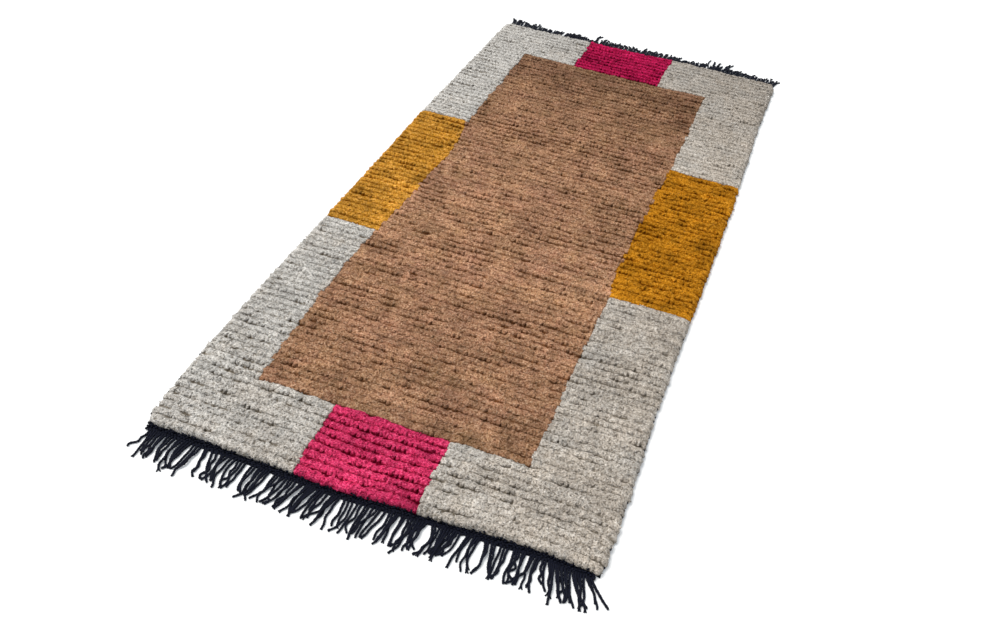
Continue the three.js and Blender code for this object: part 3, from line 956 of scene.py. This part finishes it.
# %% Back finish
WEFT_COLOUR = (0.007, 0.009, 0.014, 1)
KNOT_ROUNDNESS = (3.2, 6.5)  # across and along, so that a knot is longer across its row
BACK_RELIEF = 1.4 * MM


def knotted_back():
    finish = Finish("knotted_back")
    dyed = finish.node("ShaderNodeAttribute", {"attribute_name": "knot"})
    plan = finish.node("ShaderNodeUVMap", {"uv_map": "OFBake"})
    parts = finish.tree.nodes.new("ShaderNodeSeparateXYZ")
    finish.put(parts.inputs[0], plan)
    across, along = Wire(finish, parts.outputs[0]), Wire(finish, parts.outputs[1])
    place = finish.object_place()
    fibre = finish.noise(place, 900)
    sway = finish.noise(place, 120)
    across = (across * (2 * TUFTS_ACROSS) + 0.3 * sway).math("FRACT") - 0.5
    along = (along * ROWS + 0.15 * sway).math("FRACT") - 0.5
    round_off = across * across * KNOT_ROUNDNESS[0] + along * along * KNOT_ROUNDNESS[1]
    knot = finish.ramp(round_off, 0.35, 1.0, 1.0, 0.0)
    weft = (along * (6 * math.pi)).math("SINE")
    height = knot * 1.2 + 0.25 * weft * (1 - knot) + 0.3 * fibre
    # Painted light and shade: lighter on the knots' bumps and raised fibres, darker towards their rims.
    value = (0.55 + 0.9 * fibre) * (0.55 + 0.45 * knot)
    return finish.set(
        Base_Color=finish.scale(finish.mix(knot, WEFT_COLOUR, dyed), value),
        Roughness=0.92,
        Normal=finish.bump(height, BACK_RELIEF),
        Specular_IOR_Level=0.12,
    )


# %% Ground
GROUND_INSET = 1.5 * MM


def woven_ground():
    bpy.ops.object.select_all(action="DESELECT")
    bpy.ops.mesh.primitive_grid_add(x_subdivisions=TUFTS_ACROSS, y_subdivisions=ROWS, size=1)
    piece = bpy.context.object
    piece.name = piece.data.name = "woven_ground"
    flat = np.empty(len(piece.data.vertices) * 3, np.float32)
    piece.data.vertices.foreach_get("co", flat)
    across, along = flat[0::3] + 0.5, flat[1::3] + 0.5
    inwards = 1 - 2 * GROUND_INSET / RUG_WIDTH
    ground_x = place_across(0.5 + (across - 0.5) * inwards, along)
    points = np.stack([ground_x, place_along(across, along), 0 * ground_x], 1)
    piece.data.vertices.foreach_set("co", points.astype(np.float32).ravel())

    corners = np.empty(len(piece.data.loops), np.int32)
    piece.data.loops.foreach_get("vertex_index", corners)
    rows_at = np.rint(along[corners] * ROWS).astype(int).reshape(-1, 4).min(1)
    tufts_at = np.rint(across[corners] * TUFTS_ACROSS).astype(int).reshape(-1, 4).min(1)
    dyes = np.array([(*WOOL_COLOURS[name][0], 1) for name in COLOURS])
    knots_seen = piece.data.attributes.new("knot", "FLOAT_COLOR", "CORNER")
    knots_seen.data.foreach_set(
        "color", np.repeat(dyes[colour[rows_at, tufts_at]], 4, 0).astype(np.float32).ravel()
    )
    piece.data.uv_layers[0].name = "OFBake"

    bpy.ops.object.mode_set(mode="EDIT")
    bpy.ops.mesh.select_mode(type="FACE")
    bpy.ops.mesh.select_all(action="SELECT")
    bpy.ops.mesh.region_to_loop()
    bpy.ops.mesh.extrude_region_move(TRANSFORM_OT_translate={"value": (0, 0, GROUND_THICKNESS)})
    bpy.ops.mesh.edge_face_add()
    bpy.ops.mesh.select_all(action="SELECT")
    bpy.ops.mesh.normals_make_consistent(inside=False)
    bpy.ops.object.mode_set(mode="OBJECT")
    piece.data.materials.append(knotted_back())
    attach(piece, "root")
    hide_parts("pile_rug")
    print("ground faces:", len(piece.data.polygons))


woven_ground()

# %% [markdown]
# ## The end bands
# At both ends the weaver twined a few rows of thick weft over the warps to lock the knots in. A twined
# row looks like a row of slanted stitches, and rows slanted in turn give a plait. One stitch is a
# stretched ico sphere, copied along the band over a plain strip that fills it. The row beside the pile
# rides up on the wool and shows only here and there. The tables give the strip's section and the rows
# of stitches in millimetres out from the pile and up, and the share of the stitches that is kept.

# %% Places on the bands
BAND_WIDTH = 9.5 * MM
BAND_INSETS = {"near": (6 * MM, 8 * MM), "far": (4 * MM, 4 * MM)}
GAP = 0.3 * MM


def band_edge(end, share):
    """How far out an end band starts, from the rug's own middle."""
    return end_reach(end, share) + GAP


def end_point(end, share, out, up):
    """Points on an end band, from a share of the width and metres outwards and up."""
    left, right = BAND_INSETS[end]
    share = np.clip(share, left / RUG_WIDTH, 1 - right / RUG_WIDTH)
    outwards = -1 if end == "near" else 1
    x = place_across(share, 0 if end == "near" else 1)
    y = outwards * (band_edge(end, share) + out) + shift.y
    return np.stack(np.broadcast_arrays(x, y, up), -1)


print("the near band starts", round(band_edge("near", 0.5) / MM, 1), "mm from the middle")

# %% Balls and tubes
LUMP_SIZE = (0.78, 1.15)
LOWEST_LUMP = 0.1 * MM


def ball_points():
    """Points and faces of a ball of twenty faces."""
    bpy.ops.object.select_all(action="DESELECT")
    bpy.ops.mesh.primitive_ico_sphere_add(subdivisions=1, radius=1)
    ball = bpy.context.object
    points = np.array([vertex.co for vertex in ball.data.vertices])
    faces = np.array([face.vertices for face in ball.data.polygons])
    bpy.data.objects.remove(ball)
    return points, faces


def tube_faces(rings, sides, start=0):
    """Triangles of a closed tube of rings with flat ends."""
    ring = start + sides * np.arange(rings - 1)[:, None]
    a = ring + np.arange(sides)
    b = ring + (np.arange(sides) + 1) % sides
    sheet = np.stack([np.stack([a, b, a + sides], -1), np.stack([b, b + sides, a + sides], -1)])
    caps = []
    last = start + (rings - 1) * sides
    for k in range(1, sides - 1):
        caps += [(start, start + k + 1, start + k), (last, last + k, last + k + 1)]
    return np.concatenate([sheet.reshape(-1, 3), np.array(caps)])


def lumps(middles, radii, slant, start):
    """Points and faces of one stretched, turned ball at each of the middles."""
    ball, ball_faces = ball_points()
    count = len(middles)
    size = radii * dice.uniform(*LUMP_SIZE, (count, 3))
    balls = ball[None] * size[:, None]
    cos, sin = np.cos(slant)[:, None], np.sin(slant)[:, None]
    turned_x = balls[..., 0] * cos - balls[..., 1] * sin
    turned_y = balls[..., 0] * sin + balls[..., 1] * cos
    turned = np.stack([turned_x, turned_y, balls[..., 2]], -1) + middles[:, None]
    turned[..., 2] = np.maximum(turned[..., 2], LOWEST_LUMP)
    steps_up = start + len(ball) * np.arange(count)[:, None, None]
    return turned.reshape(-1, 3), (ball_faces[None] + steps_up).reshape(-1, 3)


# %% Bands
BAND_SECTION = {"out": (0.2, 8.2, 8.2, 7.0, 4.6, 2, 0.2), "up": (0, 0, 1.2, 1.8, 2.0, 1.8, 1.5)}
BAND_STEPS = 60
STITCH_ROWS = {"out": (0.2, 1.8, 4.7, 7.5), "up": (5.6, 3.4, 2.9, 2.3), "kept": (0.6, 1, 1, 1)}
STITCH_PITCH = 4.3 * MM
STITCH = np.array((2.45, 1.55, 2.1)) * MM
STITCH_SLANT = 0.55
STITCH_OUT = 0.7 * MM
STITCH_UP = 0.5 * MM


def band(end):
    share = np.linspace(0, 1, BAND_STEPS)
    section = [end_point(end, share, out * MM, up * MM) for out, up in zip(*BAND_SECTION.values())]
    points = [np.stack(section, 1).reshape(-1, 3)]
    faces = [tube_faces(BAND_STEPS, len(section))]
    if end == "near":  # it runs the other way round, which would turn its faces inwards
        faces = [faces[0][:, ::-1]]
    start = len(points[0])
    count = int(RUG_WIDTH / STITCH_PITCH)
    for number, (out, up, kept) in enumerate(zip(*STITCH_ROWS.values())):
        share = (np.arange(count) + 0.5 + 0.5 * (number % 2)) / (count + 0.5)
        share = share[dice.random(count) < kept]
        middles = end_point(end, share, out * MM + dice.normal(0, STITCH_OUT, len(share)), up * MM)
        middles[:, 2] += dice.normal(0, STITCH_UP, len(share))
        slant = (STITCH_SLANT if number % 2 else -STITCH_SLANT) + dice.normal(0, 0.25, len(share))
        more_points, more_faces = lumps(middles, STITCH, slant, start)
        points.append(more_points)
        faces.append(more_faces)
        start += len(more_points)
    piece = joined_mesh(end + "_band", np.concatenate(points), np.concatenate(faces), black_cotton)
    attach(piece, "root")
    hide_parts(end + "_fringe")


band("near")
band("far")

# %% [markdown]
# ## Weft loops
# Along both sides the black weft turns back round the last warp, which leaves a small dark loop in each
# groove. A loop is one such ball again. On the left the loops stand out a little, and on the right they
# sit deeper in the wool.

# %% Weft loops
LOOP = np.array((1.7, 2.4, 2.0)) * MM
LOOP_REACH = ((0, -1, 0.4), (1, 1, -0.6))  # share across, way outwards, millimetres past the edge
LOOP_HEIGHT = 4.6 * MM


def weft_loops():
    along = np.arange(1, ROWS) / ROWS
    middles = []
    for side, outwards, reach in LOOP_REACH:
        side_x = place_across(side, along) + outwards * dice.normal(reach, 0.5, len(along)) * MM
        side_y = place_along(side, along) + dice.normal(0, 0.6 * MM, len(along))
        side_z = dice.normal(LOOP_HEIGHT, 0.9 * MM, len(along))
        middles.append(np.stack([side_x, side_y, side_z], 1))
    middles = np.concatenate(middles)
    points, faces = lumps(middles, LOOP, dice.normal(0, 0.4, len(middles)), 0)
    piece = joined_mesh("weft_loops", points, faces, black_cotton)
    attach(piece, "root")
    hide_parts("pile_rug")


weft_loops()

# %% [markdown]
# ## The fringe
# The warps come out of the band as strands of two plies twisted together. They were never combed, so
# they lie in locks: some side by side, some bunched, some crossed. The near locks are a table, from left
# to right. Roots and tips are in hundredths of the rug's width, from the first strand of the lock to its
# last, then come the reach past the band and the sideways bow in millimetres, and the strands. The pile
# hides most of the far fringe, so its locks are even ones whose reach and lean, in millimetres, change
# along the band. A few longer strands, the spray, show over the edge there and are listed one by one.

# %% Near locks
NEAR_LOCKS = [
    (1.9, 1.9, 0.8, 0.8, 34, 0, 1),
    (2.4, 5.6, 2.6, 6.0, 40, 1, 7),
    (6.4, 8.0, 7.4, 8.6, 41, 0, 3),
    (8.9, 11.7, 9.4, 11.4, 44, 0, 5),
    (12.4, 14.0, 12.1, 13.1, 45, 0, 3),
    (15.2, 15.7, 16.2, 16.8, 44, 0, 2),
    (16.7, 19.0, 18.0, 19.2, 45, 1, 3),
    (19.7, 22.4, 20.3, 22.3, 45, -1, 4),
    (23.0, 24.6, 22.9, 24.0, 45, 1, 3),
    (26.2, 27.0, 26.4, 27.1, 44, -3, 2),
    (27.8, 30.2, 27.8, 29.8, 49, 0, 5),
    (31.6, 34.2, 30.4, 32.4, 43, 0, 5),
    (34.8, 36.2, 33.4, 34.7, 42, 1, 3),
    (37.4, 37.9, 35.6, 36.4, 44, 0, 2),
    (38.8, 40.8, 37.7, 39.7, 47, 0, 5),
    (41.6, 42.8, 40.6, 41.9, 47, 0, 3),
    (43.6, 44.6, 42.6, 43.6, 45, 0, 2),
    (45.2, 46.3, 44.3, 45.5, 47, 1, 3),
    (47.3, 49.0, 47.5, 49.0, 46, 0, 3),
    (50.2, 51.9, 49.7, 50.9, 45, 1, 3),
    (52.6, 54.4, 51.8, 53.4, 44, -1, 3),
    (55.1, 56.2, 54.1, 54.9, 45, 1, 2),
    (56.9, 57.5, 56.0, 56.7, 45, 0, 2),
    (58.4, 58.9, 57.9, 58.5, 45, 1, 2),
    (59.8, 60.4, 59.9, 60.4, 48, 0, 2),
    (61.0, 62.3, 61.0, 62.0, 45, 1, 3),
    (63.0, 63.5, 62.7, 63.4, 44, 0, 2),
    (64.1, 64.8, 64.1, 64.8, 45, -1, 2),
    (65.9, 66.5, 65.3, 65.9, 42, 4, 2),
    (67.6, 71.2, 67.5, 70.6, 44, 0, 7),
    (71.9, 71.9, 71.5, 71.5, 40, 0, 1),
    (73.6, 74.2, 72.8, 73.4, 44, 0, 2),
    (74.9, 76.0, 75.0, 76.4, 48, -1, 3),
    (77.0, 77.6, 77.6, 78.4, 48, 1, 2),
    (78.5, 79.1, 79.7, 80.3, 47, 0, 2),
    (80.4, 81.8, 81.1, 82.2, 47, -1, 3),
    (83.1, 84.1, 83.0, 84.2, 47, 1, 3),
    (84.9, 85.4, 85.7, 86.4, 47, 0, 2),
    (86.6, 88.4, 87.3, 88.8, 46, -1, 4),
    (89.1, 89.7, 90.2, 91.0, 38, 0, 2),
    (90.3, 92.6, 92.2, 94.8, 44, 1, 6),
    (93.1, 94.8, 95.8, 97.8, 44, 0, 4),
    (95.3, 97.5, 98.4, 100.8, 42, 0, 5),
    (98.0, 99.0, 101.6, 102.8, 33, 0, 3),
]
print("strands in the near locks:", sum(lock[-1] for lock in NEAR_LOCKS))

# %% Far locks
FAR_LOCKS = 44
FAR_STRANDS = 5
FAR_INSET = 0.004
FAR_WAVE = {
    "across": [
        0, 0.04, 0.10, 0.15, 0.22, 0.27, 0.30, 0.31, 0.33, 0.345, 0.4, 0.46, 0.54, 0.6, 0.66, 0.72,
        0.76, 0.8, 0.86, 0.93, 1,
    ],
    "reach": [31, 30, 26, 22, 28, 25, 25, 14, 14, 34, 29, 26, 30, 26, 20, 19, 30, 32, 27, 23, 26],
    "lean": [-3, -3, 1, -1, 3, 3, 2, 0, 0, 2, 2, -2, 1, 1, 2, -1, 6, 7, 5, 4, 7],
}
FAR_SPRAY = [
    (32.8, 33.2, 32.6, 33.4, 47, 0, 2),
    (75.6, 75.6, 74.2, 74.2, 52, -2, 1),
    (76.2, 76.6, 76.0, 77.4, 49, 1, 2),
    (77.0, 77.4, 78.2, 79.2, 46, 3, 2),
    (79.6, 79.6, 83.0, 83.0, 54, 2, 1),
    (81.0, 81.0, 82.6, 82.6, 48, -3, 1),
]
STRAND_PITCH = 2.85 * MM


def far_locks():
    """The locks of the far fringe, written as the near ones are, and its spray."""
    locks = []
    half = 100 * STRAND_PITCH * (FAR_STRANDS - 1) / RUG_WIDTH / 2
    for place in range(FAR_LOCKS):
        share = FAR_INSET + (1 - 2 * FAR_INSET) * (place + 0.5) / FAR_LOCKS
        lean = np.interp(share, FAR_WAVE["across"], FAR_WAVE["lean"]) * 100 * MM / RUG_WIDTH
        reach = np.interp(share, FAR_WAVE["across"], FAR_WAVE["reach"])
        root, tip = 100 * share, 100 * share + lean
        locks.append((root - half, root + half, tip - half, tip + half, reach, 0, FAR_STRANDS))
    return locks + FAR_SPRAY


print("strands in the far locks:", sum(lock[-1] for lock in far_locks()))


# %% Places of the strands in a lock
def spread(start, stop, count, closeness=1.0):
    """Places for the strands of a lock. A lock too tight for them is widened about its middle."""
    if count == 1:
        return [(start + stop) / 2]
    half = max(stop - start, (count - 1) * STRAND_PITCH * 100 / RUG_WIDTH) / 2 * closeness
    return list(np.linspace((start + stop) / 2 - half, (start + stop) / 2 + half, count))


# %% [markdown]
# ## Strands
# A strand is a tube along a bent path. Its cross-section is a round one drawn in at the waist, like two
# plies side by side, and it turns as it goes, which makes the twist. Some strands end in a fork where
# the two plies have come apart.

# %% Tubes along a path
SIDES = 6
SIDE_ANGLES = np.arange(SIDES) * 2 * math.pi / SIDES
WAIST = np.where(np.arange(SIDES) % 3 == 0, 1.0, 0.78)
BENDS = (0.12, 0.64)  # of the sideways lean, at a third and at two thirds of a strand
WAVES = (1.2, 2.8)
WAVE_SIZE = 1.3 * MM
HOOK_START = 0.55


def tube(path, radius, turns, waist):
    """Points of a tube along a path that runs nowhere straight up."""
    ahead = np.gradient(path, axis=0)
    ahead /= np.linalg.norm(ahead, axis=1)[:, None]
    aside = np.cross(ahead, (0, 0, 1))
    aside /= np.linalg.norm(aside, axis=1)[:, None]
    above = np.cross(aside, ahead)
    angle = SIDE_ANGLES + turns[:, None]
    reach = radius[:, None] * waist
    points = path[:, None] + (reach * np.cos(angle))[..., None] * aside[:, None]
    return points + (reach * np.sin(angle))[..., None] * above[:, None]


def bent_path(root, tip, bow, rings, curl):
    """A path from root to tip with a bow, a few soft waves and a hook at its tip."""
    share = np.linspace(0, 1, rings)[:, None]
    first = root + (tip - root) / 3
    second = root + (tip - root) * 2 / 3
    first[0] = root[0] + (tip[0] - root[0]) * BENDS[0] + bow * 4 / 3
    second[0] = root[0] + (tip[0] - root[0]) * BENDS[1] + bow * 4 / 3
    path = (
        (1 - share) ** 3 * root
        + 3 * (1 - share) ** 2 * share * first
        + 3 * (1 - share) * share**2 * second
        + share**3 * tip
    )
    share = share[:, 0]
    waves = dice.uniform(*WAVES)
    size = share * dice.normal(0, WAVE_SIZE)
    path[:, 0] += size * np.sin(2 * math.pi * waves * share + dice.uniform(0, 6))
    path[:, 0] += dice.normal(0, curl * MM) * np.clip(share - HOOK_START, 0, 1) ** 2 / 0.2
    return path, share


# %% One strand
STRAND_RADIUS = 2.08 * MM
STRAND_SIZES = (0.9, 1.08)
TAPER = 0.12
ROOT_HEIGHT = 2.1 * MM
PLY_TURN = 6.4 * MM
RINGS_PER_TURN = 5
FEWEST_RINGS = 12
FORKED = 0.35
FORK_RINGS = 7
FORK_LENGTH = (4, 7)
FORK_SPREAD = (0.1, 0.4)
PLY_RADIUS = 1.3 * MM


def forked_plies(path):
    """Two short plies that come apart at the tip of a path."""
    start = path[-4]
    ahead = path[-2] - path[-5]
    ahead[2] = 0
    ahead /= np.linalg.norm(ahead)
    length = dice.uniform(*FORK_LENGTH) * MM
    plies = []
    for side in (-1, 1):
        away = side * dice.uniform(*FORK_SPREAD)
        out = np.linspace(0, 1, FORK_RINGS)[:, None]
        heading = ahead + away * np.array((ahead[1], -ahead[0], 0)) * out
        ply = start + out * length * heading
        radius = PLY_RADIUS * (1 - 0.3 * out[:, 0])
        ply[:, 2] = np.maximum(ply[:, 2], 0) * (1 - out[:, 0]) + radius * out[:, 0]
        plies.append((tube(ply, radius, np.zeros(FORK_RINGS), np.ones(SIDES)), FORK_RINGS))
    return plies


def strand_parts(root, tip, bow, lift, curl):
    """The tubes of one strand, each with its number of rings. It settles from the band to the floor."""
    rings = max(FEWEST_RINGS, int(np.linalg.norm(tip - root) / (PLY_TURN / RINGS_PER_TURN)))
    path, share = bent_path(root, tip, bow, rings, curl)
    radius = STRAND_RADIUS * dice.uniform(*STRAND_SIZES) * (1 - TAPER * share)
    radius[-1] *= 0.8
    settle = smooth_step(share / 0.3)
    path[:, 2] = (1 - settle) * ROOT_HEIGHT + settle * radius + lift * np.sin(math.pi * share) ** 2
    turns = np.arange(rings) * math.pi / 2.5 + dice.uniform(0, 6)
    parts = [(tube(path, radius, turns, WAIST), rings)]
    if dice.random() < FORKED:
        parts += forked_plies(path)
    return parts


# %% [markdown]
# ## Whole fringes
# In some locks the tips are bunched. Here and there two neighbours are crossed, and then one of them is
# lifted over the other. Every strand's tip is also moved a little, because no two lie alike.

# %% Fringes
LOOSENESS = {
    "near": {"aside": 2.0, "reach": 3.2, "curl": 3.4, "lift": 0.0, "bunched": 0.45},
    "far": {"aside": 2.0, "reach": 4.2, "curl": 2.0, "lift": 0.5, "bunched": 0.2},
}
STRAND_SINK = 2.5 * MM
BUNCH = 0.62
BOW_CHANGE = 1.6
CROSSED = 0.4
CROSSING_LIFT = (1.8, 2.6)


def fringe(end, locks):
    outwards = -1 if end == "near" else 1
    loose = LOOSENESS[end]
    points, faces = [], []
    start = 0
    for root_from, root_to, tip_from, tip_to, reach, bow, count in locks:
        closeness = BUNCH if count > 1 and dice.random() < loose["bunched"] else 1.0
        roots, tips = spread(root_from, root_to, count), spread(tip_from, tip_to, count, closeness)
        bow = bow + dice.normal(0, BOW_CHANGE)
        lifts = [0.0] * count
        for place in range(count - 1):
            if dice.random() < CROSSED and not lifts[place]:
                tips[place], tips[place + 1] = tips[place + 1], tips[place]
                lifts[place + 1] = dice.uniform(*CROSSING_LIFT) * MM
        for root_share, tip_share, lift in zip(roots, tips, lifts):
            edge = band_edge(end, root_share / 100) + BAND_WIDTH
            root = np.array((
                (root_share / 100 - 0.5) * RUG_WIDTH + shift.x,
                outwards * (edge - STRAND_SINK) + shift.y, 0,
            ))
            tip = np.array((
                (tip_share / 100 - 0.5) * RUG_WIDTH + shift.x + dice.normal(0, loose["aside"] * MM),
                outwards * (edge + (reach + dice.normal(0, loose["reach"])) * MM) + shift.y, 0,
            ))
            lift += dice.uniform(0, loose["lift"]) * MM
            for part, rings in strand_parts(root, tip, bow * MM, lift, loose["curl"]):
                points.append(part.reshape(-1, 3))
                faces.append(tube_faces(rings, SIDES, start))
                start += rings * SIDES
    piece = joined_mesh(end + "_strands", np.concatenate(points), np.concatenate(faces), black_cotton)
    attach(piece, "root")
    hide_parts(end + "_fringe")


fringe("near", NEAR_LOCKS)
fringe("far", far_locks())
